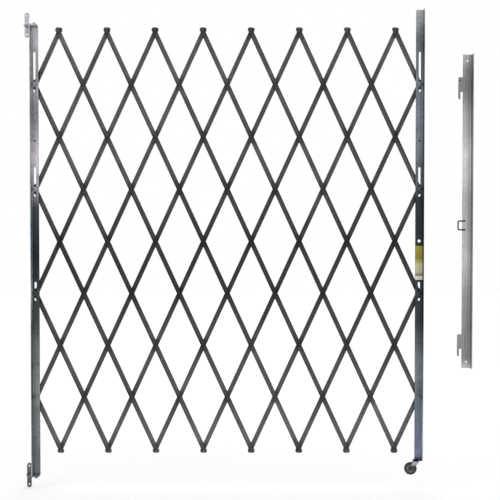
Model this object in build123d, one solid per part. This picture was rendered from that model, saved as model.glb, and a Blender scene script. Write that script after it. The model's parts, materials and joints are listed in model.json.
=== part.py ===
from build123d import *
import os
from math import cos, pi, radians, sin, sqrt

# Folding lattice gate: hinge post in two wall brackets, riveted lattice of channel bars,
# lead post on a small caster, and the strike angle of the far jamb.
# Millimetres. X runs across the doorway, Y into it, Z up. The wall face is the plane Y = 0, the viewer
# stands at negative Y, and the origin is the middle of the lower wall bracket's back face.
# Front bars lean with their tops to the left, back bars with their tops to the right.
# Lattice columns count from the hinge post to the lead post, lattice rows from the top down.

# Lattice
RIVET_PITCH = 233.4
BAR_LEAN = 24.7
COLUMNS = 16
ROWS = 8
FIXED_ROW = 7
SLIDING_ROWS = (1, 3, 5)

# Lean of the bars when the gate is folded flat
FOLDED_LEAN = 3.0

# Channel bars
BAR_WIDTH = 19.05
BAR_DEPTH = 9.5
BAR_WALL = 1.6
BAR_OVERHANG = 21.0

# Rivets and the pins at the posts
RIVET_RADIUS = 3.175
RIVET_HEAD_RADIUS = 6.0
RIVET_HEAD_HEIGHT = 2.6
POST_PIN_RADIUS = 3.95
WASHER_RADIUS = 10.5
WASHER_THICKNESS = 1.6
PIN_HEAD_RADIUS = 7.0
PIN_HEAD_HEIGHT = 3.4
HOLE_CLEARANCE = 0.3
RUNNING_GAP = 0.3

# The lattice repeats its rivets and bar ends so often that their rounds are drawn with few sides
SHANK_SIDES = 6
HEAD_SIDES = 6
WASHER_SIDES = 8

# Posts, both cut from the same rolled angle
POST_SIZE = 31.75
POST_WALL = 3.2
POST_ROOT_RADIUS = 3.0
POST_LENGTH = 1829.0
HINGE_POST_BOTTOM = 6.5
HINGE_POST_X = 35.5
LEAD_POST_BOTTOM = 70.0
FIXED_ROW_HEIGHT = 326.5
SLOT_BELOW_PIN = 26.0
WALL_GAP = 10.0
HASP_HOLE_RADIUS = 6.0
HASP_HOLE_HEIGHT = 964.0

# Swing pins and their plates
SWING_PIN_RADIUS = 5.0
SWING_PIN_LENGTH = 9.5
PIVOT_PLATE_THICKNESS = 4.0
PLATE_CORNER = 3.5

# Wall brackets
STRAP_WIDTH = 19.0
STRAP_LENGTH = 101.6
STRAP_THICKNESS = 3.2
STRAP_SCREW_SPACING = 76.0
STRAP_SCREW_RADIUS = 3.3
EAR_THICKNESS = 4.0
EAR_END_RADIUS = 11.0
EAR_BEND = 5.0
EAR_CORNER = 7.0

# Caster
CASTER_AXIS_OFFSET = 12.0
CASTER_TRAIL = 22.0
CASTER_PLATE_THICKNESS = 3.2
CASTER_PLATE_REACH = 12.0
RACE_RADIUS = 11.0
RACE_HEIGHT = 3.0
STEM_RADIUS = 4.0
STEM_NUT_RADIUS = 6.5
STEM_NUT_HEIGHT = 4.0
WHEEL_DIAMETER = 50.8
WHEEL_CENTRE_HEIGHT = 37.5
TYRE_WIDTH = 15.0
TYRE_SEAT_RADIUS = 18.0
HUB_LENGTH = 20.0
HUB_RADIUS = 7.0
HUB_WEB_THICKNESS = 8.0
AXLE_RADIUS = 3.2
AXLE_CLEARANCE = 0.1
AXLE_NUT_RADIUS = 6.0
AXLE_NUT_HEIGHT = 3.0
NUT_SIDES = 6
FORK_WALL = 2.5
FORK_LEG_RADIUS = 7.0
CROWN_RADIUS = 12.0

# Strike angle
STRIKE_SIZE = 38.1
STRIKE_WALL = 3.2
STRIKE_ROOT_RADIUS = 3.0
STRIKE_LEFT = 1776.0
STRIKE_BOTTOM = 441.0
STRIKE_LENGTH = 1282.0
STRIKE_SCREW_INSET = 26.0
STRIKE_SCREW_RADIUS = 3.6

# Hooks and padlock staple of the strike angle
HOOK_THICKNESS = 3.2
HOOK_REACH = 19.0
HOOK_FOOT = 12.0
HOOK_HEIGHT = 90.0
HOOK_TONGUE_WIDTH = 9.0
HOOK_THROAT_HEIGHT = 30.0
HOOK_CORNER = 3.0
UPPER_HOOK_HEIGHT = 1586.0
LOWER_HOOK_HEIGHT = 536.0
STAPLE_HEIGHT = 1027.0
STAPLE_SPAN = 42.0
STAPLE_BAR = 6.0
STAPLE_REACH = 20.0
STAPLE_FOOT = 14.0
STAPLE_CORNER = 3.5

# Places that follow from the sizes
COLUMN_STEP = RIVET_PITCH * sin(radians(BAR_LEAN))
ROW_STEP = RIVET_PITCH * cos(radians(BAR_LEAN))
BACK_WEB_FRONT = -(WALL_GAP + BAR_DEPTH)
FRONT_WEB_BACK = BACK_WEB_FRONT - RUNNING_GAP
FRONT_BARS_FRONT = FRONT_WEB_BACK - BAR_DEPTH
FLANGE_BACK = FRONT_BARS_FRONT - RUNNING_GAP
FLANGE_FRONT = FLANGE_BACK - POST_WALL
LEG_FRONT = FLANGE_BACK - POST_SIZE
INSIDE_Y = (FLANGE_FRONT + LEG_FRONT) / 2
HINGE_POST_TOP = HINGE_POST_BOTTOM + POST_LENGTH
HINGE_POST_LEFT = HINGE_POST_X - POST_SIZE / 2
SWING_PIN_X = HINGE_POST_LEFT + (POST_SIZE + POST_WALL) / 2
LEAD_POST_X = HINGE_POST_X + COLUMNS * COLUMN_STEP
LEAD_POST_RIGHT = LEAD_POST_X + POST_SIZE / 2
CASTER_X = LEAD_POST_X - CASTER_AXIS_OFFSET
WHEEL_X = CASTER_X - CASTER_TRAIL
WHEEL_RADIUS = WHEEL_DIAMETER / 2
CROWN_TOP = LEAD_POST_BOTTOM - RACE_HEIGHT - RUNNING_GAP
FORK_INSIDE = HUB_LENGTH / 2 + RUNNING_GAP
FORK_OUTSIDE = FORK_INSIDE + FORK_WALL

# Corner of a regular octagon as a share of its width
OCTAGON_CORNER = 1 - 1 / sqrt(2)

# Front and back bars counted from the left
BAR_NUMBERS = range(1, (COLUMNS + ROWS) // 2 + 1)


def lattice_x(column):
    return HINGE_POST_X + column * COLUMN_STEP


def lattice_z(row):
    return FIXED_ROW_HEIGHT + (FIXED_ROW - row) * ROW_STEP


def front_bar_nodes(number):
    """Columns and rows of a front bar's rivets, from its lower end up."""
    offset = 2 * number - ROWS - 1
    nodes = [(row + offset, row) for row in range(ROWS, -1, -1)]
    return [node for node in nodes if 0 <= node[0] <= COLUMNS]


def back_bar_nodes(number):
    """Columns and rows of a back bar's rivets, from its lower end up."""
    total = 2 * number - 1
    nodes = [(total - row, row) for row in range(ROWS, -1, -1)]
    return [node for node in nodes if 0 <= node[0] <= COLUMNS]


def disc(radius, back, front):
    """Cylinder along Y on the axis X = Z = 0, from its back face to its front face."""
    return Pos(0, (back + front) / 2, 0) * Rot(90, 0, 0) * Cylinder(radius, back - front)


def prism(radius, sides, back, front):
    """Few-sided pin along Y on the axis X = Z = 0, from its back face to its front face."""
    return extrude(Plane.XZ.offset(-back) * RegularPolygon(radius, sides), back - front)


def clipped_slot(length, width):
    """Upright strip whose ends are half octagons."""
    strip = Rectangle(width, length)
    return chamfer(strip.vertices(), width * OCTAGON_CORNER)


def upright_channel(web_back, open_side, rivet_count):
    """Channel bar that stands on its lowest rivet; open_side is -1 to the viewer and 1 to the wall."""
    span = (rivet_count - 1) * RIVET_PITCH
    web_front = web_back - BAR_WALL
    outline = clipped_slot(span + 2 * BAR_OVERHANG, BAR_WIDTH)
    web = extrude(Plane.XZ.offset(-web_back) * Pos(0, span / 2) * outline, BAR_WALL)
    flange_length = span + 2 * BAR_OVERHANG - BAR_WIDTH
    middle = (web_back + web_front) / 2 + open_side * (BAR_DEPTH - BAR_WALL) / 2
    for side in (-1, 1):
        place = Pos(side * (BAR_WIDTH - BAR_WALL) / 2, middle, span / 2)
        web += place * Box(BAR_WALL, BAR_DEPTH, flange_length)
    return web


def lattice_rivet():
    """Rivet of one crossing, set flush in the back bar and headed on the front bar's web."""
    seat = FRONT_WEB_BACK - BAR_WALL - RUNNING_GAP
    shank = prism(RIVET_RADIUS, SHANK_SIDES, BACK_WEB_FRONT + BAR_WALL / 2, seat)
    return shank + prism(RIVET_HEAD_RADIUS, HEAD_SIDES, seat, seat - RIVET_HEAD_HEIGHT)


def post_pin():
    """Pin that carries a bar's end in a post: through both bars and the flange, with a washer."""
    seat = FLANGE_FRONT - RUNNING_GAP
    head_seat = seat - WASHER_THICKNESS
    shank = prism(POST_PIN_RADIUS, SHANK_SIDES, BACK_WEB_FRONT + BAR_WALL / 2, seat)
    washer = prism(WASHER_RADIUS, WASHER_SIDES, seat, head_seat)
    return shank + washer + prism(PIN_HEAD_RADIUS, HEAD_SIDES, head_seat, head_seat - PIN_HEAD_HEIGHT)


def at_post(node):
    return node[0] in (0, COLUMNS)


def stand_bar(bar, nodes, lean):
    """Lean an upright bar and set its lowest rivet on its lattice point."""
    column, row = nodes[0]
    return Pos(lattice_x(column), 0, lattice_z(row)) * Rot(0, lean, 0) * bar


def front_bar(number):
    nodes = front_bar_nodes(number)
    bar = upright_channel(FRONT_WEB_BACK, -1, len(nodes))
    for place, node in enumerate(nodes):
        radius = POST_PIN_RADIUS if at_post(node) else RIVET_RADIUS
        hole = prism(
            (radius + HOLE_CLEARANCE) / cos(pi / SHANK_SIDES),
            SHANK_SIDES,
            FRONT_WEB_BACK + BAR_WALL,
            FRONT_WEB_BACK - 2 * BAR_WALL,
        )
        bar -= Pos(0, 0, place * RIVET_PITCH) * hole
    return stand_bar(bar, nodes, -BAR_LEAN)


def back_bar(number):
    nodes = back_bar_nodes(number)
    bar = upright_channel(BACK_WEB_FRONT + BAR_WALL, 1, len(nodes))
    for place, node in enumerate(nodes):
        rivet = post_pin() if at_post(node) else lattice_rivet()
        bar += Pos(0, 0, place * RIVET_PITCH) * rivet
    return stand_bar(bar, nodes, BAR_LEAN)


def angle_bar(size, wall, root_radius, length):
    """Rolled angle standing on Z = 0: flange along X behind, leg toward the viewer at X = 0."""
    outline = make_face(
        Polyline((0, 0), (size, 0), (size, -wall), (wall, -wall), (wall, -size), (0, -size), close=True)
    )
    root = outline.vertices().sort_by_distance((wall, -wall, 0))[0]
    return extrude(fillet(root, root_radius), length)


def slot_through(x, bottom, top, radius, back, thickness):
    """Cutter for an upright slot through a flange, for a pin that runs from bottom to top."""
    outline = clipped_slot(top - bottom + 2 * radius, 2 * radius)
    place = Plane.XZ.offset(-back - thickness) * Pos(x, (bottom + top) / 2)
    return extrude(place * outline, 3 * thickness)


def hole_through(x, z, radius, back, thickness):
    return Pos(x, 0, z) * disc(radius, back + thickness, back - 2 * thickness)


def cut_pin_openings(post, x):
    """One round hole at the fixed row and slots where the other rows rise and fall with the fold."""
    radius = POST_PIN_RADIUS + HOLE_CLEARANCE
    post -= hole_through(x, FIXED_ROW_HEIGHT, radius, FLANGE_BACK, POST_WALL)
    for row in SLIDING_ROWS:
        arm = (FIXED_ROW - row) * RIVET_PITCH
        top = FIXED_ROW_HEIGHT + arm * cos(radians(FOLDED_LEAN))
        bottom = lattice_z(row) - SLOT_BELOW_PIN
        post -= slot_through(x, bottom, top, radius, FLANGE_BACK, POST_WALL)
    return post


def hinge_post():
    post = angle_bar(POST_SIZE, POST_WALL, POST_ROOT_RADIUS, POST_LENGTH)
    post = Pos(HINGE_POST_LEFT, FLANGE_BACK, HINGE_POST_BOTTOM) * post
    return cut_pin_openings(post, HINGE_POST_X)


def lead_post():
    post = angle_bar(POST_SIZE, POST_WALL, POST_ROOT_RADIUS, POST_LENGTH).mirror(Plane.YZ)
    post = Pos(LEAD_POST_RIGHT, FLANGE_BACK, LEAD_POST_BOTTOM) * post
    post = cut_pin_openings(post, LEAD_POST_X)
    return post - hole_through(LEAD_POST_X, HASP_HOLE_HEIGHT, HASP_HOLE_RADIUS, FLANGE_BACK, POST_WALL)


def end_plate(left, right, front, thickness):
    """Flat plate that fills a post's inside corner, with its corners cut clear of the root."""
    outline = Rectangle(right - left, FLANGE_FRONT - front)
    outline = chamfer(outline.vertices(), PLATE_CORNER)
    return extrude(Pos((left + right) / 2, (FLANGE_FRONT + front) / 2) * outline, thickness)


def pivot_plate():
    """End plate and swing pin of the hinge post's lower end, as one welded piece."""
    inside = HINGE_POST_LEFT + POST_WALL
    plate = end_plate(inside, HINGE_POST_LEFT + POST_SIZE, LEG_FRONT, PIVOT_PLATE_THICKNESS)
    plate = Pos(0, 0, HINGE_POST_BOTTOM) * plate
    pin = Cylinder(SWING_PIN_RADIUS, SWING_PIN_LENGTH, align=(Align.CENTER, Align.CENTER, Align.MAX))
    return plate + Pos(SWING_PIN_X, INSIDE_Y, HINGE_POST_BOTTOM) * pin


def wall_bracket():
    """Strap on the wall with two screw holes and a bent ear that holds the lower swing pin."""
    strap = extrude(Plane.XZ * clipped_slot(STRAP_LENGTH, STRAP_WIDTH), STRAP_THICKNESS)
    for side in (-1, 1):
        strap -= hole_through(0, side * STRAP_SCREW_SPACING / 2, STRAP_SCREW_RADIUS, 0, STRAP_THICKNESS)
    half = STRAP_WIDTH / 2
    arm_back = INSIDE_Y + EAR_END_RADIUS
    arm_front = INSIDE_Y - EAR_END_RADIUS
    ear = make_face(
        Polyline(
            (-half, -STRAP_THICKNESS),
            (half, -STRAP_THICKNESS),
            (half, arm_back),
            (SWING_PIN_X, arm_back),
            (SWING_PIN_X, arm_front),
            (-half, arm_front),
            close=True,
        )
    )
    bend = ear.vertices().sort_by_distance((half, arm_back, 0))[0]
    ear = chamfer(bend, EAR_BEND)
    corner = ear.vertices().sort_by_distance((-half, arm_front, 0))[0]
    ear = chamfer(corner, EAR_CORNER)
    ear += Pos(SWING_PIN_X, INSIDE_Y) * Circle(EAR_END_RADIUS)
    ear -= Pos(SWING_PIN_X, INSIDE_Y) * Circle(SWING_PIN_RADIUS + HOLE_CLEARANCE)
    ear_top = HINGE_POST_BOTTOM - RUNNING_GAP
    return strap + Pos(0, 0, ear_top - EAR_THICKNESS) * extrude(ear, EAR_THICKNESS)


def at_upper_end(piece):
    """The same piece turned over for the hinge post's upper end."""
    middle = Plane.XY.offset((HINGE_POST_BOTTOM + HINGE_POST_TOP) / 2)
    return piece.mirror(middle)


def caster_plate():
    """Plate welded in the lead post's lower end, with the swivel race under it."""
    plate = end_plate(
        CASTER_X - CASTER_PLATE_REACH, LEAD_POST_RIGHT - POST_WALL, LEG_FRONT, CASTER_PLATE_THICKNESS
    )
    race = Pos(CASTER_X, INSIDE_Y, -RACE_HEIGHT / 2) * Cylinder(RACE_RADIUS, RACE_HEIGHT)
    body = plate + race
    hole = Pos(CASTER_X, INSIDE_Y) * Cylinder(STEM_RADIUS + HOLE_CLEARANCE, 4 * CASTER_PLATE_THICKNESS)
    return Pos(0, 0, LEAD_POST_BOTTOM) * (body - hole)


def fork_side():
    """Outline of the fork from the side: the crown, and the leg down and back to the axle."""
    eye = Pos(WHEEL_X, WHEEL_CENTRE_HEIGHT) * Circle(FORK_LEG_RADIUS)
    crown = Pos(CASTER_X, CROWN_TOP - FORK_WALL / 2) * Rectangle(2 * CROWN_RADIUS, FORK_WALL)
    return make_hull((eye + crown).edges())


def between_fork_legs():
    """Space of the wheel under the crown, open below and at both ends."""
    space = Rectangle(2 * WHEEL_DIAMETER, WHEEL_DIAMETER, align=(Align.CENTER, Align.MAX))
    return Pos(CASTER_X, CROWN_TOP - FORK_WALL) * space


def caster_fork():
    """Fork with its crown under the race, and its stem and nut through the caster plate."""
    middle = Plane.XZ.offset(-INSIDE_Y)
    fork = extrude(middle * fork_side(), FORK_OUTSIDE, both=True)
    fork -= extrude(middle * between_fork_legs(), FORK_INSIDE, both=True)
    fork -= at_wheel(disc(AXLE_RADIUS, 2 * FORK_OUTSIDE, -2 * FORK_OUTSIDE))
    nut_bottom = LEAD_POST_BOTTOM + CASTER_PLATE_THICKNESS + RUNNING_GAP
    stem = Pos(0, 0, (CROWN_TOP + nut_bottom) / 2) * Cylinder(STEM_RADIUS, nut_bottom - CROWN_TOP)
    stem += Pos(0, 0, nut_bottom) * extrude(RegularPolygon(STEM_NUT_RADIUS, NUT_SIDES), STEM_NUT_HEIGHT)
    return fork + Pos(CASTER_X, INSIDE_Y, 0) * stem


def at_wheel(piece):
    return Pos(WHEEL_X, INSIDE_Y, WHEEL_CENTRE_HEIGHT) * piece


def caster_axle():
    """Axle bolt through both fork legs, with its hexagon head in front and its nut behind."""
    axle = disc(AXLE_RADIUS, FORK_OUTSIDE, -FORK_OUTSIDE)
    axle += prism(AXLE_NUT_RADIUS, NUT_SIDES, FORK_OUTSIDE + AXLE_NUT_HEIGHT, FORK_OUTSIDE)
    axle += prism(AXLE_NUT_RADIUS, NUT_SIDES, -FORK_OUTSIDE, -FORK_OUTSIDE - AXLE_NUT_HEIGHT)
    return at_wheel(axle)


def wheel_hub():
    """Hub and web of the wheel, bored for the axle."""
    half = HUB_LENGTH / 2
    web = HUB_WEB_THICKNESS / 2
    bore = disc(AXLE_RADIUS + AXLE_CLEARANCE, HUB_LENGTH, -HUB_LENGTH)
    return at_wheel(disc(HUB_RADIUS, half, -half) + disc(TYRE_SEAT_RADIUS, web, -web) - bore)


def tyre():
    """Rubber tread seated on the hub's web."""
    half = TYRE_WIDTH / 2
    return at_wheel(disc(WHEEL_RADIUS, half, -half) - disc(TYRE_SEAT_RADIUS, TYRE_WIDTH, -TYRE_WIDTH))


def strike_angle():
    """Angle screwed to the far jamb, its leg at the side away from the gate."""
    angle = angle_bar(STRIKE_SIZE, STRIKE_WALL, STRIKE_ROOT_RADIUS, STRIKE_LENGTH).mirror(Plane.YZ)
    angle = Pos(STRIKE_LEFT + STRIKE_SIZE, 0, STRIKE_BOTTOM) * angle
    for z in (STRIKE_BOTTOM + STRIKE_SCREW_INSET, STRIKE_BOTTOM + STRIKE_LENGTH - STRIKE_SCREW_INSET):
        angle -= hole_through(STRIKE_LEFT + STRIKE_SIZE / 2, z, STRIKE_SCREW_RADIUS, 0, STRIKE_WALL)
    return angle


def strike_hook(height):
    """Flat hook on the strike angle's face: a foot, and a tongue that hangs beside the angle's edge."""
    left = STRIKE_LEFT - HOOK_REACH
    right = STRIKE_LEFT + HOOK_FOOT
    outline = Pos((left + right) / 2, 0) * Rectangle(right - left, HOOK_HEIGHT)
    outline = chamfer(outline.vertices().group_by(Axis.X)[0], HOOK_CORNER)
    throat_left = left + HOOK_TONGUE_WIDTH
    throat = Rectangle(right - throat_left, HOOK_THROAT_HEIGHT, align=(Align.MIN, Align.MIN))
    outline -= Pos(throat_left, -HOOK_HEIGHT / 2) * throat
    plate = extrude(Plane.XZ.offset(STRIKE_WALL) * outline, HOOK_THICKNESS)
    return Pos(0, 0, height) * plate


def padlock_staple():
    """Bent square bar with both feet flat on the strike angle's face and its loop past the edge."""
    left = STRIKE_LEFT - STAPLE_REACH
    right = STRIKE_LEFT + STAPLE_FOOT
    outline = Pos((left + right) / 2, 0) * Rectangle(right - left, STAPLE_SPAN)
    outline = chamfer(outline.vertices().group_by(Axis.X)[0], STAPLE_CORNER)
    eye = Rectangle(right - left - STAPLE_BAR, STAPLE_SPAN - 2 * STAPLE_BAR, align=(Align.MIN, Align.CENTER))
    outline -= Pos(left + STAPLE_BAR, 0) * eye
    bar = extrude(Plane.XZ.offset(STRIKE_WALL) * outline, STAPLE_BAR)
    return Pos(0, 0, STAPLE_HEIGHT) * bar


def build_parts():
    parts = {
        "lower_wall_bracket": wall_bracket(),
        "upper_wall_bracket": at_upper_end(wall_bracket()),
        "hinge_post": hinge_post(),
        "lower_pivot_plate": pivot_plate(),
        "upper_pivot_plate": at_upper_end(pivot_plate()),
        "lead_post": lead_post(),
        "caster_plate": caster_plate(),
        "caster_fork": caster_fork(),
        "caster_axle": caster_axle(),
        "wheel_hub": wheel_hub(),
        "tyre": tyre(),
        "strike_angle": strike_angle(),
        "upper_hook": strike_hook(UPPER_HOOK_HEIGHT),
        "padlock_staple": padlock_staple(),
        "lower_hook": strike_hook(LOWER_HOOK_HEIGHT),
    }
    for number in BAR_NUMBERS:
        parts[f"front_bar_{number:02d}"] = front_bar(number)
        parts[f"back_bar_{number:02d}"] = back_bar(number)
    return parts


os.makedirs("parts", exist_ok=True)
for name, piece in build_parts().items():
    export_step(piece, f"parts/{name}.step")
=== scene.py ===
import json
import math
from functools import partial

import bmesh
import bpy
from mathutils import Matrix, Vector

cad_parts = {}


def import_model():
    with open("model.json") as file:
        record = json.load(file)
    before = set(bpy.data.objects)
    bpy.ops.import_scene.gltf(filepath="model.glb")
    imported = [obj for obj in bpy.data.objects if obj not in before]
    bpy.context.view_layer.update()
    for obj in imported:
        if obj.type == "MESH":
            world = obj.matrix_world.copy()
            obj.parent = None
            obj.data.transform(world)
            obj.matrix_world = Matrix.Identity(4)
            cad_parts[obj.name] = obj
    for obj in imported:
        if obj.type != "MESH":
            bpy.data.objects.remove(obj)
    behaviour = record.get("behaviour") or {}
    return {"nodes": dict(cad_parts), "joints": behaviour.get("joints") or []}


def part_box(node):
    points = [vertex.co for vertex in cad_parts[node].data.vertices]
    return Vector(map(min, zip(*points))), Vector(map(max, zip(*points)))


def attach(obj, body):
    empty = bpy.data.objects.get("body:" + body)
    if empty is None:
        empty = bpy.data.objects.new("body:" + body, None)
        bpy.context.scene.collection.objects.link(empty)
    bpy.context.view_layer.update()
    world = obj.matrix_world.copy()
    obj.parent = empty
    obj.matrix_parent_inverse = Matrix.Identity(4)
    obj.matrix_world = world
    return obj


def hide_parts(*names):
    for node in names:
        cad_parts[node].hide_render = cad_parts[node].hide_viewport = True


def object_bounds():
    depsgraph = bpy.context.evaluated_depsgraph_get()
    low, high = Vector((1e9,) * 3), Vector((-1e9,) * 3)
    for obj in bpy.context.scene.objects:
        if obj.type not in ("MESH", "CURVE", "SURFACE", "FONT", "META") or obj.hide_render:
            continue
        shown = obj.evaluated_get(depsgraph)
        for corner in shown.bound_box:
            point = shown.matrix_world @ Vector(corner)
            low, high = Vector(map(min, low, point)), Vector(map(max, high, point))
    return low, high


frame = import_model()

cad_low, cad_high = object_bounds()

MM = 0.001

# Lattice counts, as in the frame
COLUMNS = 16
ROWS = 8
FIXED_ROW = 7
BAR_NUMBERS = range(1, (COLUMNS + ROWS) // 2 + 1)

# Depths of the layers, along Y
RIVET_SEAT_Y = -21.7 * MM
BACK_WEB_BACK_Y = -17.9 * MM
WASHER_SEAT_Y = -33.1 * MM
PIN_HEAD_SEAT_Y = -34.7 * MM

# Rivets, pins and washers
RIVET_HEAD_RADIUS = 6.3 * MM
RIVET_HEAD_EDGE = 1.5 * MM
RIVET_HEAD_CROWN = 3.2 * MM
RIVET_TAIL_RADIUS = 4.8 * MM
RIVET_TAIL_EDGE = 0.6 * MM
RIVET_TAIL_CROWN = 2.4 * MM
RIVET_SHANK_RADIUS = 3.2 * MM
PIN_HEAD_RADIUS = 7.3 * MM
PIN_HEAD_EDGE = 1.9 * MM
PIN_HEAD_CROWN = 4.2 * MM
POST_PIN_RADIUS = 3.95 * MM
WASHER_RADIUS = 10.9 * MM
WASHER_THICKNESS = 1.7 * MM
WASHER_CHAMFER = 0.3 * MM
ROUND_SIDES = 24
CROWN_STEPS = 6

# Channel bars
BAR_WIDTH = 19.05 * MM
BAR_DEPTH = 9.5 * MM
BAR_WALL = 1.6 * MM
BAR_OVERHANG = 21.0 * MM
BAR_OUTER_BEND = 2.0 * MM
BAR_INNER_BEND = 0.6 * MM
BAR_LIP = 0.35 * MM
BAR_END_RIM = 0.6
FRONT_WEB_OUTSIDE_Y = -19.8 * MM
BACK_WEB_OUTSIDE_Y = -19.5 * MM
END_STEPS = 16

# Posts and strike angle: wall, root, and where the leg's tones of painted reflections and shade start
# beside the flange's
POST_WALL = 3.2 * MM
ANGLE_ROOT = 3.0 * MM
LEG_BAND = 4.6 * MM

# Flush rivets on the posts' pin line, and on the upper hook: from its left, below its top, radius
FLUSH_RIVET_HEIGHT = 1371 * MM
FLUSH_RIVET_RADIUS = 4.2 * MM
FLUSH_RIVET_EDGE = 0.3 * MM
FLUSH_RIVET_CROWN = 1.2 * MM
HOOK_RIVETS = (
    (8.0 * MM, 13.0 * MM, 3.4 * MM),
    (2.4 * MM, 78.0 * MM, 2.0 * MM),
)

# Wall brackets
STRAP_THICKNESS = 3.2 * MM
STRAP_WIDTH = 19.0 * MM
STRAP_SCREW_SPACING = 76.0 * MM
STRAP_SCREW_RADIUS = 3.3 * MM
EAR_THICKNESS = 4.0 * MM
EAR_END_RADIUS = 11.0 * MM
EAR_HOLE_RADIUS = 5.3 * MM
EAR_BEND = 5.0 * MM
EAR_NECK_CUT = 4.0 * MM
EAR_NECK_DROP = 5.5 * MM
EAR_GAP = 0.3 * MM
EAR_SINK = 0.5 * MM
PLATE_EDGE = 0.4 * MM

# Weld beads
BRACKET_BEAD_RADIUS = 2.2 * MM
BRACKET_BEAD_INSET = 2.0 * MM
HOOK_BEAD_RADIUS = 1.8 * MM
HOOK_BEAD_BELOW_TOP = 6.0 * MM
HOOK_BEAD_ABOVE_THROAT = 4.0 * MM
HOOK_CROSS_BEAD = (1.0 * MM, 11.0 * MM)
HOOK_THROAT = 30.0 * MM
BEAD_SIDES = 12
BEAD_WAVE_STEPS = 6
BEAD_SWELL = 0.14
BEAD_END_SIZE = 0.35
BEAD_END_SLOPE = 6

# Caster wheel
TYRE_CORNER = 3.2 * MM
TYRE_CHAMFER = 0.8 * MM
TYRE_FLAT = 0.6 * MM
HUB_BORE = 3.3 * MM
HUB_BOSS = 7.0 * MM
HUB_CHAMFER = 0.6 * MM
HUB_TAPER = 0.4 * MM
HUB_FILLET = 1.0 * MM
HUB_WEB = 3.0 * MM
HUB_RIM = 5.6 * MM
HUB_RIM_FOOT = 3.6 * MM
HUB_RIM_SLOPE = 2.2 * MM
HUB_RIM_WALL = 1.4 * MM
HUB_SEAT_GAP = 0.05 * MM
WHEEL_SIDES = 72

# Padlock staple
STAPLE_BEND = 7.0 * MM
STAPLE_SIDES = 20

# Rounding of the rolled and cut edges
ROLLED_EDGE = 0.5 * MM
EDGE_ANGLE = math.radians(35)
MERGE_DISTANCE = 0.001 * MM
WELD_DISTANCE = 0.01 * MM

# Sticker on the lead post: tones of its printed bands by height
STICKER_TOP = 944 * MM
STICKER_BOTTOM = 806 * MM
STICKER_GAP = 0.02 * MM
STICKER_THICKNESS = 0.18 * MM
STICKER_MARGIN = 0.6 * MM
STICKER_LEG_WIDTH = 26 * MM
STICKER_BANDS = (
    (806 * MM, (240, 235, 225)),
    (821 * MM, (235, 235, 220)),
    (823 * MM, (105, 105, 90)),
    (838 * MM, (205, 200, 175)),
    (868 * MM, (215, 210, 150)),
    (893 * MM, (150, 140, 15)),
    (944 * MM, (170, 165, 45)),
)

# Zinc finish: noise scales per metre, and how far each layer swings the tone
SPANGLE_SCALE, SPANGLE_SWING = 150.0, 0.10
STREAK_SCALE, STREAK_SWING = 420.0, 0.22
CLOUD_SCALE, CLOUD_SWING = 16.0, 0.18
PATCH_SCALE, PATCH_SWING = 4.5, 0.20
STAIN_SCALE, STAIN_SHARE = 47.0, 0.45
SCRATCH_SCALE, SCRATCH_TURN = 1500.0, 0.2
ROLLING_SCALE = 260.0
GRAIN_SCALE = 900.0
STAIN_TONE = (60, 58, 54)
ZINC_METALLIC = 0.8

# Painted shade round the rivets, where the bars cross: ragged edge, reach and darkest factor
ROW_SHADE_DRIFT = 8 * MM
ROW_SHADE_START = 9 * MM
ROW_SHADE_END = 38 * MM
ROW_SHADE_FACTOR = 0.55

# Factors of the painted shade on the channel's lips and of the painted light on its floor
LIP_FACTOR = 0.62
WEB_FACTOR = 1.18

# Stage and lights: the floor's own glow changes from near to far, in metres from the origin
FLOOR_SIZE = 24
FLOOR_DROP = 1 * MM
FLOOR_GREY = 0.82
FLOOR_GLOW = (0.30, 0.43)
GLOW_REACH = (1.5, 5.0)
WORLD_LIGHT = 0.72
LAMP_SIZE = 3.0
LAMPS = (
    ("key", (-2.4, -3.2, 2.0), 26),
    ("fill", (2.8, -2.6, 0.8), 16),
    ("back", (0.4, 3.0, 1.8), 24),
)

# Camera, worked out from the photograph
CAMERA_PLACE = (908.4 * MM, -4550 * MM, 1055 * MM)
CAMERA_PITCH = math.radians(88.38)
CAMERA_LENS = 80.0

# Tones of the zinc as sRGB, by height in mm above the origin: painted reflections of the surroundings
# and painted shade, over the zinc's own tone
HINGE_POST_TONES = (
    (60, (105, 110, 115)),
    (380, (135, 140, 140)),
    (650, (70, 75, 75)),
    (900, (30, 35, 40)),
    (1100, (55, 60, 65)),
    (1200, (160, 160, 165)),
    (1300, (185, 180, 185)),
    (1470, (130, 130, 135)),
    (1840, (160, 160, 165)),
)
LEAD_POST_TONES = (
    (70, (135, 140, 170)),
    (260, (100, 110, 120)),
    (410, (120, 125, 130)),
    (640, (60, 65, 70)),
    (1130, (50, 55, 60)),
    (1310, (110, 120, 125)),
    (1450, (120, 130, 140)),
    (1790, (100, 105, 110)),
    (1890, (165, 170, 175)),
)
# Tones on the angles' legs and the bars' side faces, which look along X: painted reflections and shade
HINGE_LEG_TONES = (
    (60, (160, 160, 160)),
    (430, (105, 115, 110)),
    (620, (120, 130, 125)),
    (720, (200, 205, 210)),
    (1000, (145, 160, 170)),
    (1200, (170, 170, 170)),
    (1390, (195, 195, 195)),
    (1840, (165, 165, 170)),
)
LEAD_LEG_TONES = (
    (70, (230, 245, 250)),
    (300, (150, 170, 185)),
    (650, (40, 45, 50)),
    (1180, (35, 45, 50)),
    (1500, (75, 85, 95)),
    (1640, (80, 90, 95)),
    (1750, (35, 40, 50)),
    (1890, (130, 135, 140)),
)
BAR_SIDE_TONES = (
    (100, (150, 150, 150)),
    (850, (110, 110, 110)),
    (1850, (140, 140, 140)),
)
STRIKE_LEG_TONES = (
    (440, (160, 160, 160)),
    (900, (140, 140, 140)),
    (1150, (115, 115, 115)),
    (1320, (135, 135, 135)),
    (1620, (110, 110, 110)),
    (1720, (135, 135, 135)),
)
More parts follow.
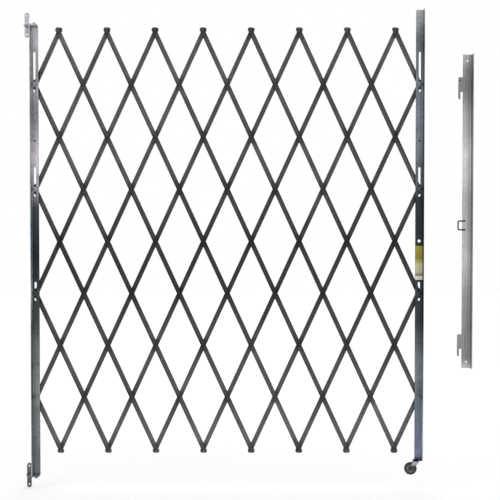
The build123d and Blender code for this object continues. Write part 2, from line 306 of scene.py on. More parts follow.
BAR_TONES = (
    (100, (95, 95, 95)),
    (620, (65, 65, 65)),
    (850, (50, 50, 50)),
    (1300, (75, 75, 75)),
    (1850, (80, 80, 80)),
)
STRIKE_TONES = (
    (440, (195, 195, 195)),
    (480, (145, 145, 145)),
    (720, (150, 150, 150)),
    (900, (195, 195, 195)),
    (1120, (170, 170, 170)),
    (1340, (205, 205, 205)),
    (1550, (130, 130, 130)),
    (1660, (125, 125, 125)),
    (1700, (165, 165, 165)),
)
# The caster's tones: the top stop is a painted shadow under the lead post, and the pale band below it a
# painted highlight
CASTER_TONES = (
    (20, (60, 60, 65)),
    (46, (70, 70, 75)),
    (55, (170, 170, 185)),
    (66.5, (190, 190, 210)),
    (67.5, (35, 35, 60)),
)
DARK_TONES = (
    (0, (50, 50, 55)),
    (1900, (60, 60, 60)),
)
BRACKET_TONES = (
    (-50, (80, 80, 80)),
    (50, (110, 115, 110)),
    (1780, (160, 160, 165)),
    (1890, (150, 150, 155)),
)

# Tones of the wheel hub, by distance in mm from its axle
HUB_TONES = (
    (0, (50, 50, 50)),
    (6, (60, 60, 60)),
    (9, (105, 105, 100)),
    (18, (130, 130, 120)),
)


# Shader helpers

def linear(value):
    share = value / 255
    return share / 12.92 if share <= 0.04045 else ((share + 0.055) / 1.055) ** 2.4


def colour(rgb):
    return tuple(linear(value) for value in rgb) + (1.0,)


class Nodes:
    """A node tree, with one method for each kind of node that it uses."""

    def __init__(self, tree, output):
        self.tree = tree
        self.tree.nodes.clear()
        self.output = self.node(output)

    def node(self, kind, inputs=None, **settings):
        made = self.tree.nodes.new(kind)
        for name, value in settings.items():
            setattr(made, name, value)
        for name, value in (inputs or {}).items():
            self.put(made.inputs[name], value)
        return made

    def put(self, socket, value):
        if isinstance(value, bpy.types.NodeSocket):
            self.tree.links.new(value, socket)
        else:
            socket.default_value = value

    def math(self, operation, first, second=0.0):
        made = self.node("ShaderNodeMath", operation=operation)
        self.put(made.inputs[0], first)
        self.put(made.inputs[1], second)
        return made.outputs[0]

    def spread(self, value, low, high, to_low, to_high):
        made = self.node("ShaderNodeMapRange", {"Value": value})
        made.inputs["From Min"].default_value = low
        made.inputs["From Max"].default_value = high
        made.inputs["To Min"].default_value = to_low
        made.inputs["To Max"].default_value = to_high
        return made.outputs["Result"]

    def seen(self):
        """1 on rays of the camera, of reflections and through glass, 0 on those that carry light."""
        path = self.node("ShaderNodeLightPath").outputs
        direct = self.math("MAXIMUM", path["Is Camera Ray"], path["Is Glossy Ray"])
        return self.math("MAXIMUM", direct, path["Is Transmission Ray"])


class Shader(Nodes):
    """A material with procedural tones and bumps."""

    def __init__(self, name):
        self.material = bpy.data.materials.new(name)
        self.material.use_nodes = True
        super().__init__(self.material.node_tree, "ShaderNodeOutputMaterial")

    def swing(self, value, low, high, amount):
        """Grey factor round 1 from a value between low and high."""
        return self.spread(value, low, high, 1 - amount, 1 + amount)

    def place(self, turn=0.0, stretch=(1.0, 1.0, 1.0)):
        """Object coordinates turned about Y, then scaled along each axis."""
        source = self.node("ShaderNodeTexCoord").outputs["Object"]
        turned = self.node("ShaderNodeVectorRotate", {"Vector": source}, rotation_type="Y_AXIS")
        turned.inputs["Angle"].default_value = turn
        scaled = self.node("ShaderNodeVectorMath", operation="MULTIPLY")
        self.put(scaled.inputs[0], turned.outputs["Vector"])
        self.put(scaled.inputs[1], stretch)
        return scaled.outputs["Vector"]

    def noise(self, place, scale, detail=4.0, roughness=0.5):
        made = self.node("ShaderNodeTexNoise", {"Vector": place, "Scale": scale, "Detail": detail})
        made.inputs["Roughness"].default_value = roughness
        return made.outputs["Fac"]

    def cells(self, place, scale):
        """Random brightness of zinc crystals."""
        made = self.node("ShaderNodeTexVoronoi", {"Vector": place, "Scale": scale})
        return self.node("ShaderNodeSeparateColor", {"Color": made.outputs["Color"]}).outputs[0]

    def ramp(self, value, stops):
        made = self.node("ShaderNodeValToRGB", {"Fac": value})
        elements = made.color_ramp.elements
        while len(elements) < len(stops):
            elements.new(1.0)
        for element, (place, tone) in zip(elements, stops):
            element.position = place
            element.color = tone
        return made.outputs["Color"]

    def toned(self, length, tones):
        """Colour that changes with a length, from (length in mm, sRGB) stops."""
        low, high = tones[0][0] * MM, tones[-1][0] * MM
        share = self.spread(length, low, high, 0.0, 1.0)
        stops = [((at * MM - low) / (high - low), colour(tone)) for at, tone in tones]
        return self.ramp(share, stops)

    def by_height(self, tones):
        """Colour that changes along Z, with an uneven edge between the tones."""
        waver = 0.004 * (tones[-1][0] - tones[0][0]) * MM
        drift = self.spread(self.noise(self.place(), 14.0), 0.0, 1.0, -waver, waver)
        return self.toned(self.math("ADD", self.coordinate("Z"), drift), tones)

    def by_radius(self, tones, centre):
        """Colour that changes with the distance from an axis along Y."""
        beside = self.math("SUBTRACT", self.coordinate("X"), centre.x)
        above = self.math("SUBTRACT", self.coordinate("Z"), centre.z)
        squares = [self.math("MULTIPLY", away, away) for away in (beside, above)]
        return self.toned(self.math("SQRT", self.math("ADD", *squares)), tones)

    def coordinate(self, axis, kind="Object"):
        """One component of the object coordinates or of the normal."""
        source = self.node("ShaderNodeTexCoord").outputs[kind]
        return self.node("ShaderNodeSeparateXYZ", {"Vector": source}).outputs[axis]

    def brighter(self, tone, factor):
        """A colour times a grey factor."""
        made = self.node("ShaderNodeVectorMath", operation="SCALE")
        self.put(made.inputs[0], tone)
        self.put(made.inputs["Scale"], factor)
        return made.outputs["Vector"]

    def blended(self, share, first, second):
        made = self.node("ShaderNodeMix", data_type="RGBA")
        self.put(made.inputs["Factor"], share)
        self.put(made.inputs["A"], first)
        self.put(made.inputs["B"], second)
        return made.outputs["Result"]

    def bump(self, height, strength, distance, normal=None):
        inputs = {"Height": height, "Strength": strength, "Distance": distance}
        made = self.node("ShaderNodeBump", inputs)
        if normal is not None:
            self.put(made.inputs["Normal"], normal)
        return made.outputs["Normal"]

    def surface(self, base, roughness, normal, metallic=0.0):
        made = self.node("ShaderNodeBsdfPrincipled")
        self.put(made.inputs["Base Color"], base)
        self.put(made.inputs["Roughness"], roughness)
        self.put(made.inputs["Normal"], normal)
        made.inputs["Metallic"].default_value = metallic
        self.tree.links.new(made.outputs["BSDF"], self.output.inputs["Surface"])
        return self.material


def painted_rivet_shade(shader):
    """Painted shade round every row of rivets, where the bars cross."""
    height = shader.math("SUBTRACT", shader.coordinate("Z"), FIRST_PIN.z)
    row = shader.math("DIVIDE", height, ROW_STEP)
    away = shader.math("MULTIPLY", shader.math("PINGPONG", row, 0.5), ROW_STEP)
    drift = shader.spread(shader.noise(shader.place(), 60.0), 0.3, 0.7, -ROW_SHADE_DRIFT, ROW_SHADE_DRIFT)
    return shader.spread(shader.math("ADD", away, drift), ROW_SHADE_START, ROW_SHADE_END, ROW_SHADE_FACTOR, 1.0)


def painted_lip_shade(shader, lips, web):
    """Painted shade on the rolled lips, painted light in the channel's floor."""
    return shader.spread(shader.coordinate("Y"), lips, web, LIP_FACTOR, WEB_FACTOR)


def side_faces(shader):
    """1 on faces that look along X, 0 on those that look along Y or Z: the mask of the painted light and
    shade on the sides.
    """
    across = shader.math("ABSOLUTE", shader.coordinate("X", "Normal"))
    return shader.spread(across, 0.45, 0.8, 0.0, 1.0)


def angle_leg(shader, start, end):
    """1 on the leg of an angle bar, which lies beyond a place along X, and 0 on its flange: the mask of
    the leg's painted reflections and shade.
    """
    return shader.spread(shader.coordinate("X"), start, end, 0.0, 1.0)


def zinc(name, tones, side_tones=None, turn=0.0, contrast=1.0, side=side_faces, shades=()):
    """Zinc-coated steel: painted reflections and shade as tone by height and on the sides, spangle,
    streaks along the length, any further painted shade, stains and scratches.
    """
    shader = Shader(name)
    plain = shader.place()
    along = shader.place(turn, (1.0, 1.0, 0.04))
    base = shader.by_height(tones)
    # Painted reflections and shade on the sides, from their own tones by height
    if side_tones:
        base = shader.blended(side(shader), base, shader.by_height(side_tones))
    factor = shader.swing(shader.cells(plain, SPANGLE_SCALE), 0.0, 1.0, SPANGLE_SWING * contrast)
    for shade in [
        shader.swing(shader.noise(along, STREAK_SCALE, 3.0), 0.3, 0.7, STREAK_SWING * contrast),
        shader.swing(shader.noise(plain, CLOUD_SCALE, 5.0), 0.3, 0.7, CLOUD_SWING * contrast),
        shader.swing(shader.noise(plain, PATCH_SCALE, 2.0), 0.32, 0.68, PATCH_SWING * contrast),
    ] + [shade(shader) for shade in shades]:
        factor = shader.math("MULTIPLY", factor, shade)
    base = shader.brighter(base, factor)
    stain = shader.spread(shader.noise(plain, STAIN_SCALE, 6.0, 0.65), 0.60, 0.74, 0.0, STAIN_SHARE)
    base = shader.blended(stain, base, colour(STAIN_TONE))
    scratched = shader.place(turn + SCRATCH_TURN, (1.0, 1.0, 0.02))
    scratches = shader.noise(scratched, SCRATCH_SCALE, 2.0)
    roughness = shader.spread(shader.math("ADD", scratches, stain), 0.3, 1.1, 0.30, 0.58)
    rolled = shader.bump(shader.noise(along, ROLLING_SCALE, 3.0), 0.25, 0.0006)
    normal = shader.bump(shader.noise(plain, GRAIN_SCALE, 3.0), 0.12, 0.0003, rolled)
    return shader.surface(base, roughness, normal, ZINC_METALLIC)


def turned_steel(name, tones, centre):
    """Pressed wheel hub: rings of tone round its axle, turning marks, dust and scratches."""
    shader = Shader(name)
    place = shader.place()
    dust = shader.spread(shader.noise(place, 160.0, 5.0, 0.6), 0.5, 0.72, 0.0, 0.5)
    patchy = shader.swing(shader.noise(place, 60.0, 3.0), 0.3, 0.7, 0.3)
    base = shader.brighter(shader.by_radius(tones, centre), patchy)
    base = shader.blended(dust, base, colour((70, 70, 68)))
    roughness = shader.spread(dust, 0.0, 0.5, 0.35, 0.65)
    normal = shader.bump(shader.noise(place, 1200.0, 3.0), 0.2, 0.0003)
    return shader.surface(base, roughness, normal, 0.6)


def rubber(name, tone):
    """Hard rubber tread with dust in it and a scuffed sheen."""
    shader = Shader(name)
    place = shader.place()
    dust = shader.spread(shader.noise(place, 120.0, 5.0, 0.6), 0.5, 0.75, 0.0, 0.3)
    base = shader.blended(dust, colour(tone), colour((88, 84, 76)))
    roughness = shader.spread(dust, 0.0, 0.3, 0.42, 0.8)
    normal = shader.bump(shader.noise(place, 1400.0, 3.0), 0.3, 0.0004)
    return shader.surface(base, roughness, normal)


def printed_paper(name, bands):
    """Plain coloured bands of a sticker, a little rubbed and yellowed, with painted shade on the post's
    leg.
    """
    shader = Shader(name)
    ragged = shader.spread(shader.noise(shader.place(), 700.0), 0.0, 1.0, -0.0006, 0.0006)
    height = shader.math("ADD", shader.coordinate("Z"), ragged)
    span = STICKER_TOP - STICKER_BOTTOM
    share = shader.spread(height, STICKER_BOTTOM, STICKER_TOP, 0.0, 1.0)
    printed = shader.ramp(share, [((z - STICKER_BOTTOM) / span, colour(tone)) for z, tone in bands])
    worn = shader.spread(shader.noise(shader.place(), 230.0, 6.0, 0.7), 0.52, 0.72, 0.0, 0.35)
    base = shader.blended(worn, printed, colour((120, 112, 84)))
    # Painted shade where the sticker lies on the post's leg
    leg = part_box("lead_post")[1].x - POST_WALL
    shade = shader.spread(shader.coordinate("X"), leg - 2 * MM, leg - 0.4 * MM, 1.0, 0.4)
    base = shader.brighter(base, shade)
    roughness = shader.spread(worn, 0.0, 0.35, 0.35, 0.6)
    normal = shader.bump(shader.noise(shader.place(), 500.0, 3.0), 0.15, 0.0002)
    return shader.surface(base, roughness, normal)


# Mesh helpers

def arc(centre, radius, start, end, steps):
    """Points of an arc between two angles in degrees, both ends included."""
    angles = [math.radians(start + (end - start) * step / steps) for step in range(steps + 1)]
    return [(centre[0] + radius * math.cos(a), centre[1] + radius * math.sin(a)) for a in angles]


def round_hole(centre, radius):
    return arc(centre, radius, 0, 350, 35)


def lathe(mesh, outline, centre, sides=ROUND_SIDES):
    """Closed surface of revolution about the Y axis through centre, from (radius, y) points."""
    rings = []
    for radius, y in outline:
        if radius == 0:
            rings.append([mesh.verts.new((centre[0], y, centre[2]))])
            continue
        ring = []
        for step in range(sides):
            angle = 2 * math.pi * step / sides
            x, z = centre[0] + radius * math.cos(angle), centre[2] + radius * math.sin(angle)
            ring.append(mesh.verts.new((x, y, z)))
        rings.append(ring)
    pairs = list(zip(rings, rings[1:]))
    if outline[0][0] != 0:
        pairs.append((rings[-1], rings[0]))
    for first, second in pairs:
        for step in range(sides):
            after = (step + 1) % sides
            corners = [first[step % len(first)], first[after % len(first)]]
            corners += [second[after % len(second)], second[step % len(second)]]
            corners = list(dict.fromkeys(corners))
            if len(corners) > 2:
                mesh.faces.new(corners)


def crown(radius, edge, height, seat, toward):
    """Outline of a round head on its seat: a low rim and a domed top; toward is -1 to the viewer."""
    outline = [(0.0, seat), (radius, seat), (radius, seat + toward * edge * 0.5)]
    for step in range(CROWN_STEPS):
        angle = math.pi / 2 * step / CROWN_STEPS
        rise = edge + (height - edge) * math.sin(angle)
        outline.append((radius * math.cos(angle), seat + toward * rise))
    outline.append((0.0, seat + toward * height))
    return outline


def shank(back, front, radius):
    """Outline of a plain shank between two depths."""
    return [(0.0, back), (radius, back), (radius, front), (0.0, front)]


def piece(name, mesh, material, body):
    """Turns a bmesh into a named piece that rides on a body."""
    bmesh.ops.recalc_face_normals(mesh, faces=mesh.faces)
    data = bpy.data.meshes.new(name)
    mesh.to_mesh(data)
    mesh.free()
    data.shade_smooth()
    data.set_sharp_from_angle(angle=EDGE_ANGLE)
    data.materials.append(material)
    made = bpy.data.objects.new(name, data)
    bpy.context.scene.collection.objects.link(made)
    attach(made, body)
    return made


def channel_section():
    """Outline of a channel bar across its length: (across, depth from the web's outside) points."""
    half = BAR_WIDTH / 2
    inside = half - BAR_WALL
    right = [(inside, BAR_DEPTH - BAR_LIP), (inside + BAR_LIP, BAR_DEPTH)]
    right += [(half - BAR_LIP, BAR_DEPTH), (half, BAR_DEPTH - BAR_LIP)]
    right += arc((half - BAR_OUTER_BEND, BAR_OUTER_BEND), BAR_OUTER_BEND, 0, -90, 5)
    bend = arc((inside - BAR_INNER_BEND, BAR_WALL + BAR_INNER_BEND), BAR_INNER_BEND, -90, 0, 3)
    left, left_bend = (
        [(-across, depth) for across, depth in reversed(side)] for side in (right, bend)
    )
    return right + left + left_bend + bend


def strip_between(mesh, first, second):
    """Faces between two closed rings of as many points."""
    for step in range(len(first)):
        after = (step + 1) % len(first)
        mesh.faces.new((first[step], first[after], second[after], second[step]))


def closed_strips(mesh, rings):
    """Faces between neighbouring rings, and a face on both ends."""
    for first, second in zip(rings, rings[1:]):
        strip_between(mesh, first, second)
    mesh.faces.new(rings[0])
    mesh.faces.new(rings[-1])


def channel_bar(name, nodes, lean, web_outside, open_side, material):
    """Rolled channel bar with round web ends, through its lattice points from the lowest up."""
    foot = Vector(lattice_place(*nodes[0]))
    run = Vector((math.sin(lean), 0.0, math.cos(lean)))
    across = Vector((math.cos(lean), 0.0, -math.sin(lean)))
    span = (Vector(lattice_place(*nodes[-1])) - foot).length
    reach = BAR_OVERHANG - BAR_WIDTH / 2

    def spot(along, side, depth):
        place = foot + run * along + across * side
        return (place.x, web_outside + open_side * depth, place.z)

    mesh = bmesh.new()
    closed_strips(mesh, [
        [mesh.verts.new(spot(along, side, depth)) for side, depth in channel_section()]
        for along in (-reach, span + reach)
    ])
    half = BAR_WIDTH / 2
    rim = BAR_WALL * BAR_END_RIM
    profile = [(0.0, BAR_WALL), (half - BAR_LIP, BAR_WALL), (half, BAR_WALL - BAR_LIP)]
    profile += arc((half - rim, rim), rim, 0, -90, 3)
    profile.append((0.0, 0.0))
    for centre, turn in ((-reach, math.pi), (span + reach, 0.0)):
        arcs = []
        for step in range(END_STEPS + 1):
            angle = turn + math.pi * step / END_STEPS
            arcs.append([
                mesh.verts.new(spot(centre + radius * math.sin(angle), radius * math.cos(angle), depth))
                for radius, depth in profile
            ])
        closed_strips(mesh, arcs)
    bmesh.ops.remove_doubles(mesh, verts=mesh.verts, dist=MERGE_DISTANCE)
    made = piece(f"{name}_rolled", mesh, material, name)
    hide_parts(name)


# Lattice places, read from the joints

def joint_place(name):
    return Vector(next(joint["pos_m"] for joint in frame["joints"] if joint["name"] == name))


FIRST_PIN = joint_place("fold")
COLUMN_STEP = (joint_place("lead_post_pivot").x - FIRST_PIN.x) / COLUMNS
ROW_STEP = (joint_place("rivet_back_bar_01").z - FIRST_PIN.z) / FIXED_ROW
BAR_LEAN = math.atan2(COLUMN_STEP, ROW_STEP)


def lattice_place(column, row):
    return (FIRST_PIN.x + column * COLUMN_STEP, 0.0, FIRST_PIN.z + (FIXED_ROW - row) * ROW_STEP)


def front_bar_nodes(number):
    """Columns and rows of a front bar's rivets, from its lower end up."""
    nodes = [(row + 2 * number - ROWS - 1, row) for row in range(ROWS, -1, -1)]
    return [node for node in nodes if 0 <= node[0] <= COLUMNS]


def back_bar_nodes(number):
    """Columns and rows of a back bar's rivets, from its lower end up."""
    nodes = [(2 * number - 1 - row, row) for row in range(ROWS, -1, -1)]
    return [node for node in nodes if 0 <= node[0] <= COLUMNS]


def rivets(number, material):
    """Domed heads, shanks and tails of the rivets of one back bar."""
    mesh = bmesh.new()
    tail = crown(RIVET_TAIL_RADIUS, RIVET_TAIL_EDGE, RIVET_TAIL_CROWN, BACK_WEB_BACK_Y, 1)
    head = crown(RIVET_HEAD_RADIUS, RIVET_HEAD_EDGE, RIVET_HEAD_CROWN, RIVET_SEAT_Y, -1)
    for column, row in back_bar_nodes(number):
        centre = lattice_place(column, row)
        lathe(mesh, tail, centre)
        if column not in (0, COLUMNS):
            lathe(mesh, head, centre)
            lathe(mesh, shank(BACK_WEB_BACK_Y, RIVET_SEAT_Y, RIVET_SHANK_RADIUS), centre)
    piece(f"rivets_{number:02d}", mesh, material, f"back_bar_{number:02d}")


def post_pins(number, left_material, right_material):
    """Domed head, washer and shank of each pin that ties one back bar to a post."""
    front = WASHER_SEAT_Y - WASHER_THICKNESS
    washer = [(0.0, WASHER_SEAT_Y), (WASHER_RADIUS, WASHER_SEAT_Y)]
    washer += [(WASHER_RADIUS, front + WASHER_CHAMFER), (WASHER_RADIUS - WASHER_CHAMFER, front)]
    washer.append((0.0, front))
    head = crown(PIN_HEAD_RADIUS, PIN_HEAD_EDGE, PIN_HEAD_CROWN, PIN_HEAD_SEAT_Y, -1)
    for column, row in back_bar_nodes(number):
        if column not in (0, COLUMNS):
            continue
        mesh = bmesh.new()
        for outline in (washer, head, shank(BACK_WEB_BACK_Y, WASHER_SEAT_Y, POST_PIN_RADIUS)):
            lathe(mesh, outline, lattice_place(column, row))
        material = left_material if column == 0 else right_material
        piece(f"post_pin_{number:02d}_{row}", mesh, material, f"back_bar_{number:02d}")


def flush_rivet(name, body, place, radius, material):
    """Low dark rivet head that sits on a face that looks at the viewer."""
    mesh = bmesh.new()
    lathe(mesh, crown(radius, FLUSH_RIVET_EDGE, FLUSH_RIVET_CROWN, place[1], -1), place)
    piece(name, mesh, material, body)


def flush_rivets(material):
    """Dark rivets on both posts' pin line, between the upper slots, and on the upper hook."""
    for post, x in (("hinge_post", FIRST_PIN.x), ("lead_post", joint_place("lead_post_pivot").x)):
        place = (x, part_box(post)[1].y - POST_WALL, FLUSH_RIVET_HEIGHT)
        flush_rivet(f"{post}_rivet", post, place, FLUSH_RIVET_RADIUS, material)
    low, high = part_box("upper_hook")
    for number, (beside, below, radius) in enumerate(HOOK_RIVETS, 1):
        place = (low.x + beside, low.y, high.z - below)
        flush_rivet(f"upper_hook_rivet_{number}", "wall_set", place, radius, material)


def flat_plate(outlines, thickness):
    """Mesh of a flat plate in X and Y with softened edges, from its outline and holes as point lists."""
    curve = bpy.data.curves.new("plate", "CURVE")
    curve.dimensions = "2D"
    curve.fill_mode = "BOTH"
    curve.extrude = thickness / 2 - PLATE_EDGE
    curve.bevel_depth = PLATE_EDGE
    curve.bevel_resolution = 1
    curve.offset = -PLATE_EDGE
    for outline in outlines:
        spline = curve.splines.new("POLY")
        spline.points.add(len(outline) - 1)
        spline.use_cyclic_u = True
        for point, (x, y) in zip(spline.points, outline):
            point.co = (x, y, 0.0, 1.0)
    carrier = bpy.data.objects.new("plate", curve)
    data = bpy.data.meshes.new_from_object(carrier)
    bpy.data.objects.remove(carrier)
    bpy.data.curves.remove(curve)
    return data


def weld_bead(mesh, start, end, radius, waves=9):
    """Uneven rounded bead from start to end."""
    run = (end - start).normalized()
    side = run.cross(Vector((0.3, 0.5, 0.8))).normalized()
    up = run.cross(side)
    rings = []
    steps = waves * BEAD_WAVE_STEPS
    for step in range(steps + 1):
        share = step / steps
        swell = 1 + BEAD_SWELL * math.sin(2 * math.pi * waves * share)
        taper = min(1.0, BEAD_END_SIZE + BEAD_END_SLOPE * min(share, 1 - share))
        centre = start + (end - start) * share
        ring = []
        for turn in range(BEAD_SIDES):
            angle = 2 * math.pi * turn / BEAD_SIDES
            out = side * math.cos(angle) + up * math.sin(angle)
            ring.append(mesh.verts.new(centre + out * radius * swell * taper))
        rings.append(ring)
    closed_strips(mesh, rings)


def wall_bracket(node, upper, material):
    """Strap with round ends and screw holes, bent ear for the swing pin, and the weld between them."""
    low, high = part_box(node)
    middle = (low.z + high.z) / 2
    pin = joint_place("swing")
    half = STRAP_WIDTH / 2
    ends = (high.z - low.z) / 2 - half
    strap = arc((0, ends), half, 0, 180, 20) + arc((0, -ends), half, 180, 360, 20)
    holes = [round_hole((0, side * STRAP_SCREW_SPACING / 2), STRAP_SCREW_RADIUS) for side in (-1, 1)]
    mesh = bmesh.new()
    data = flat_plate([strap] + holes, STRAP_THICKNESS)
    upright = Matrix.Rotation(math.pi / 2, 4, "X")
    data.transform(Matrix.Translation((0, -STRAP_THICKNESS / 2, middle)) @ upright)
    mesh.from_mesh(data)
    arm_back = pin.y + EAR_END_RADIUS
    root = EAR_SINK - STRAP_THICKNESS
    ear = [(-half, root), (half, root)]
    ear += arc((half + EAR_BEND, arm_back + EAR_BEND), EAR_BEND, 180, 270, 8)
    ear += arc((pin.x, pin.y), EAR_END_RADIUS, 90, -105, 24)
    ear += [(half - EAR_NECK_CUT, pin.y - EAR_NECK_DROP), (-half, pin.y + 2 * EAR_END_RADIUS)]
    post_low, post_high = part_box("hinge_post")
    gap = EAR_GAP + EAR_THICKNESS / 2
    level = post_high.z + gap if upper else post_low.z - gap
    data = flat_plate([ear, round_hole((pin.x, pin.y), EAR_HOLE_RADIUS)], EAR_THICKNESS)
    data.transform(Matrix.Translation((0, 0, level)))
    mesh.from_mesh(data)
    bmesh.ops.remove_doubles(mesh, verts=mesh.verts, dist=MERGE_DISTANCE)
    reach = half - BRACKET_BEAD_INSET
    for side in (-1, 1):
        edge = level + side * EAR_THICKNESS / 2
        start, end = (Vector((x, -STRAP_THICKNESS, edge)) for x in (-reach, reach))
        weld_bead(mesh, start, end, BRACKET_BEAD_RADIUS)
    made = piece(f"{node}_plates", mesh, material, "wall_set")
    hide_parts(node)


def strike_welds(material):
    """Weld beads that hold the two hooks on the strike angle."""
    flange_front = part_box("upper_hook")[1].y
    for node in ("upper_hook", "lower_hook"):
        low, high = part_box(node)
        throat = low.z + HOOK_THROAT
        mesh = bmesh.new()
        top, foot = (
            Vector((high.x, flange_front, z))
            for z in (high.z - HOOK_BEAD_BELOW_TOP, throat + HOOK_BEAD_ABOVE_THROAT)
        )
        weld_bead(mesh, top, foot, HOOK_BEAD_RADIUS, 12)
        right, left = (Vector((high.x - inset, flange_front, throat)) for inset in HOOK_CROSS_BEAD)
        weld_bead(mesh, right, left, HOOK_BEAD_RADIUS, 4)
        piece(f"{node}_weld", mesh, material, "wall_set")


def sticker(material):
    """Thin plain label that lies on the lead post's flange and folds onto its leg."""
    low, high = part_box("lead_post")
    flange_front = high.y - POST_WALL
    leg_inside = high.x - POST_WALL
    path = [(low.x + STICKER_MARGIN, flange_front)]
    path += arc((leg_inside - ANGLE_ROOT, flange_front - ANGLE_ROOT), ANGLE_ROOT, 90, 0, 6)
    path.append((leg_inside, flange_front - STICKER_LEG_WIDTH))
    mesh = bmesh.new()
    skins = []
    for gap in (STICKER_GAP, STICKER_THICKNESS):
        columns = []
        for place, (x, y) in enumerate(path):
            before = Vector(path[max(place - 1, 0)])
            after = Vector(path[min(place + 1, len(path) - 1)])
            run = (after - before).normalized()
            point = Vector((x, y)) + Vector((run.y, -run.x)) * gap
            ends = (STICKER_BOTTOM, STICKER_TOP)
            columns.append([mesh.verts.new((point.x, point.y, z)) for z in ends])
        skins.append(columns)
    inner, outer = skins
    for columns in skins:
        for first, second in zip(columns, columns[1:]):
            mesh.faces.new((first[0], second[0], second[1], first[1]))
    for end in (0, -1):
        mesh.faces.new((inner[end][0], inner[end][1], outer[end][1], outer[end][0]))
    for level in (0, 1):
        for place in range(len(path) - 1):
            corners = [inner[place], inner[place + 1], outer[place + 1], outer[place]]
            mesh.faces.new([corner[level] for corner in corners])
    piece("plain_sticker", mesh, material, "lead_post")


def wheel_part(name, half_outline, material, node):
    """Ring of the caster wheel from one half of its section, as (radius, y from the wheel's middle)."""
    centre = sum(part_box("tyre"), Vector()) / 2
    outline = half_outline + [(r, -y) for r, y in reversed(half_outline)]
    mesh = bmesh.new()
    lathe(mesh, [(r, centre.y + y) for r, y in outline], centre, WHEEL_SIDES)
    made = piece(name, mesh, material, "caster_wheel")
    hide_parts(node)


def caster_wheel(tread, hub_metal):
    """Rounded tread and dished hub in the place of the plain wheel."""
    low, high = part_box("tyre")
    radius = (high.x - low.x) / 2
    half = (high.y - low.y) / 2
    hub_low, hub_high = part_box("wheel_hub")
    seat = (hub_high.x - hub_low.x) / 2
    hub_half = (hub_high.y - hub_low.y) / 2
    outline = [(seat, -half + TYRE_CHAMFER), (seat + TYRE_CHAMFER, -half)]
    outline.append((radius - TYRE_CORNER - TYRE_FLAT, -half))
    outline += arc((radius - TYRE_CORNER, -half + TYRE_CORNER), TYRE_CORNER, -90, 0, 6)
    wheel_part("tyre_tread", outline, tread, "tyre")
    outline = [(HUB_BORE, -hub_half), (HUB_BOSS - HUB_CHAMFER, -hub_half)]
    outline += [(HUB_BOSS, -hub_half + HUB_CHAMFER), (HUB_BOSS + HUB_TAPER, -HUB_WEB - HUB_FILLET)]
    outline += [(HUB_BOSS + HUB_TAPER + HUB_FILLET, -HUB_WEB), (seat - HUB_RIM_FOOT, -HUB_WEB)]
    outline += [(seat - HUB_RIM_SLOPE, -HUB_RIM + HUB_CHAMFER), (seat - HUB_RIM_WALL, -HUB_RIM)]
    outline.append((seat - HUB_SEAT_GAP, -HUB_RIM))
    wheel_part("dished_hub", outline, hub_metal, "wheel_hub")


def round_staple(material):
    """Round rod bent into the padlock staple, with both feet on the strike angle."""
    low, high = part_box("padlock_staple")
    rod = (high.y - low.y) / 2
    y = (low.y + high.y) / 2
    left, bottom, top = low.x + rod, low.z + rod, high.z - rod
    bend = arc((left + STAPLE_BEND, bottom + STAPLE_BEND), STAPLE_BEND, 270, 180, 8)
    path = [Vector((x, y, z)) for x, z in [(high.x - rod * 0.5, bottom)] + bend]
    path += [Vector((p.x, p.y, bottom + top - p.z)) for p in reversed(path)]
    toward = Vector((0, 1, 0))
    mesh = bmesh.new()
    rings = []
    for place, point in enumerate(path):
        before = path[max(place - 1, 0)]
        after = path[min(place + 1, len(path) - 1)]
        across = (after - before).normalized().cross(toward).normalized()
        ring = []
        for step in range(STAPLE_SIDES):
            angle = 2 * math.pi * step / STAPLE_SIDES
            out = across * math.cos(angle) + toward * math.sin(angle)
            ring.append(mesh.verts.new(point + out * rod))
        rings.append(ring)
    closed_strips(mesh, rings)
    staple = piece("round_staple", mesh, material, "wall_set")
    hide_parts("padlock_staple")


def soften_edges(node):
    """Small rounding of a CAD node's sharp edges, and its flat shading kept."""
    weld = node.modifiers.new("weld", "WELD")
    weld.merge_threshold = WELD_DISTANCE
    bevel = node.modifiers.new("edges", "BEVEL")
    bevel.width = ROLLED_EDGE
    bevel.segments = 2
    bevel.limit_method = "ANGLE"
    bevel.angle_limit = EDGE_ANGLE
    bevel.harden_normals = True


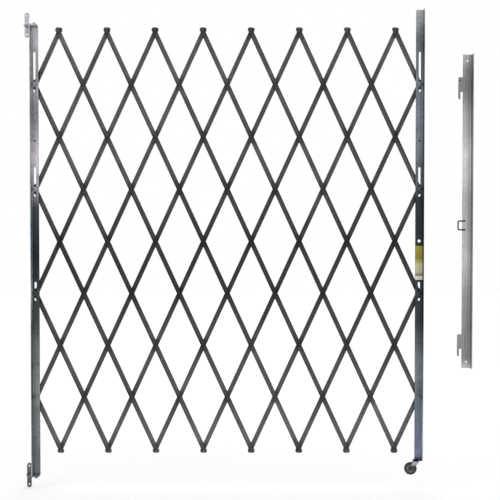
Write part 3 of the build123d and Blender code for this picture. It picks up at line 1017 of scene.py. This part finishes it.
def finish_nodes():
    """Gives every visible CAD node its finish and adds the finer pieces."""
    # Bars' zinc with painted shade round the rivet rows, and on the front bars painted shade on the lips
    lips = partial(painted_lip_shade, lips=FRONT_WEB_OUTSIDE_Y - BAR_DEPTH, web=FRONT_WEB_OUTSIDE_Y - BAR_WALL)
    front_zinc = zinc("front_bar_zinc", BAR_TONES, BAR_SIDE_TONES, BAR_LEAN, shades=(painted_rivet_shade, lips))
    back_zinc = zinc("back_bar_zinc", BAR_TONES, BAR_SIDE_TONES, -BAR_LEAN, shades=(painted_rivet_shade,))
    hinge_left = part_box("hinge_post")[0].x
    lead_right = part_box("lead_post")[1].x
    hinge_leg = partial(angle_leg, start=hinge_left + LEG_BAND, end=hinge_left + POST_WALL)
    lead_leg = partial(angle_leg, start=lead_right - LEG_BAND, end=lead_right - POST_WALL)
    strike_leg = partial(angle_leg, start=cad_high.x - LEG_BAND, end=cad_high.x - POST_WALL)
    hinge_zinc = zinc("hinge_post_zinc", HINGE_POST_TONES, HINGE_LEG_TONES, side=hinge_leg)
    lead_zinc = zinc("lead_post_zinc", LEAD_POST_TONES, LEAD_LEG_TONES, side=lead_leg)
    strike_zinc = zinc("strike_zinc", STRIKE_TONES, STRIKE_LEG_TONES, contrast=0.5, side=strike_leg)
    bracket_zinc = zinc("bracket_zinc", BRACKET_TONES, contrast=0.6)
    caster_zinc = zinc("caster_zinc", CASTER_TONES, contrast=0.6)
    hub_steel = turned_steel("hub_steel", HUB_TONES, sum(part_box("tyre"), Vector()) / 2)
    dark_zinc = zinc("dark_zinc", DARK_TONES)
    finishes = {
        hinge_zinc: ("hinge_post", "lower_pivot_plate", "upper_pivot_plate"),
        lead_zinc: ("lead_post",),
        caster_zinc: ("caster_plate", "caster_fork", "caster_axle"),
        strike_zinc: ("strike_angle", "upper_hook", "lower_hook"),
    }
    for material, names in finishes.items():
        for name in names:
            node = frame["nodes"][name]
            node.data.materials.clear()
            node.data.materials.append(material)
            soften_edges(node)
    for number in BAR_NUMBERS:
        channel_bar(f"front_bar_{number:02d}", front_bar_nodes(number), -BAR_LEAN,
                    FRONT_WEB_OUTSIDE_Y, -1, front_zinc)
        channel_bar(f"back_bar_{number:02d}", back_bar_nodes(number), BAR_LEAN,
                    BACK_WEB_OUTSIDE_Y, 1, back_zinc)
        rivets(number, back_zinc)
        post_pins(number, hinge_zinc, lead_zinc)
    flush_rivets(dark_zinc)
    wall_bracket("lower_wall_bracket", False, bracket_zinc)
    wall_bracket("upper_wall_bracket", True, bracket_zinc)
    caster_wheel(rubber("tread_rubber", (20, 20, 20)), hub_steel)
    round_staple(dark_zinc)
    strike_welds(strike_zinc)
    sticker(printed_paper("sticker_paper", STICKER_BANDS))


# Stage, lights and camera

def white_stage(name, grey, glow):
    """Pale surface that the camera and the metal see as white, with the object's shadow kept."""
    shader = Shader(name)
    diffuse = shader.node("ShaderNodeBsdfDiffuse", {"Color": (grey, grey, grey, 1.0)})
    light = shader.node("ShaderNodeEmission", {"Color": (1.0, 1.0, 1.0, 1.0)})
    away = shader.node("ShaderNodeVectorMath", {0: shader.place()}, operation="LENGTH").outputs["Value"]
    strength = shader.math("MULTIPLY", shader.seen(), shader.spread(away, *GLOW_REACH, *glow))
    shader.put(light.inputs["Strength"], strength)
    total = shader.node("ShaderNodeAddShader")
    shader.put(total.inputs[0], diffuse.outputs["BSDF"])
    shader.put(total.inputs[1], light.outputs["Emission"])
    shader.put(shader.output.inputs["Surface"], total.outputs["Shader"])
    return shader.material


def floor():
    middle = (cad_low + cad_high) / 2
    place = (middle.x, middle.y, cad_low.z - FLOOR_DROP)
    bpy.ops.mesh.primitive_plane_add(size=FLOOR_SIZE, location=place)
    ground = bpy.context.object
    ground.name = "floor"
    ground.data.materials.append(white_stage("pale_floor", FLOOR_GREY, FLOOR_GLOW))


def world():
    """White to the camera and in the metal, dimmer as light on the object."""
    sky = bpy.data.worlds.new("studio")
    bpy.context.scene.world = sky
    sky.use_nodes = True
    nodes = Nodes(sky.node_tree, "ShaderNodeOutputWorld")
    strength = nodes.spread(nodes.seen(), 0.0, 1.0, WORLD_LIGHT, 1.0)
    inputs = {"Color": (1.0, 1.0, 1.0, 1.0), "Strength": strength}
    background = nodes.node("ShaderNodeBackground", inputs)
    nodes.put(nodes.output.inputs["Surface"], background.outputs["Background"])


def lights():
    """Large dim discs that look at the gate's middle."""
    middle = (cad_low + cad_high) / 2
    for name, offset, power in LAMPS:
        data = bpy.data.lights.new(name, "AREA")
        data.shape = "DISK"
        data.size = LAMP_SIZE
        data.energy = power
        made = bpy.data.objects.new(name, data)
        bpy.context.scene.collection.objects.link(made)
        made.location = middle + Vector(offset)
        made.rotation_mode = "QUATERNION"
        made.rotation_quaternion = (-Vector(offset)).to_track_quat("-Z", "Y")


def camera():
    data = bpy.data.cameras.new("camera")
    data.lens = CAMERA_LENS
    data.clip_start = 0.05
    data.clip_end = 60
    made = bpy.data.objects.new("camera", data)
    bpy.context.scene.collection.objects.link(made)
    made.location = CAMERA_PLACE
    made.rotation_euler = (CAMERA_PITCH, 0, 0)
    bpy.context.scene.camera = made


camera()
finish_nodes()
floor()
world()
lights()
bpy.context.scene.view_settings.view_transform = "Standard"
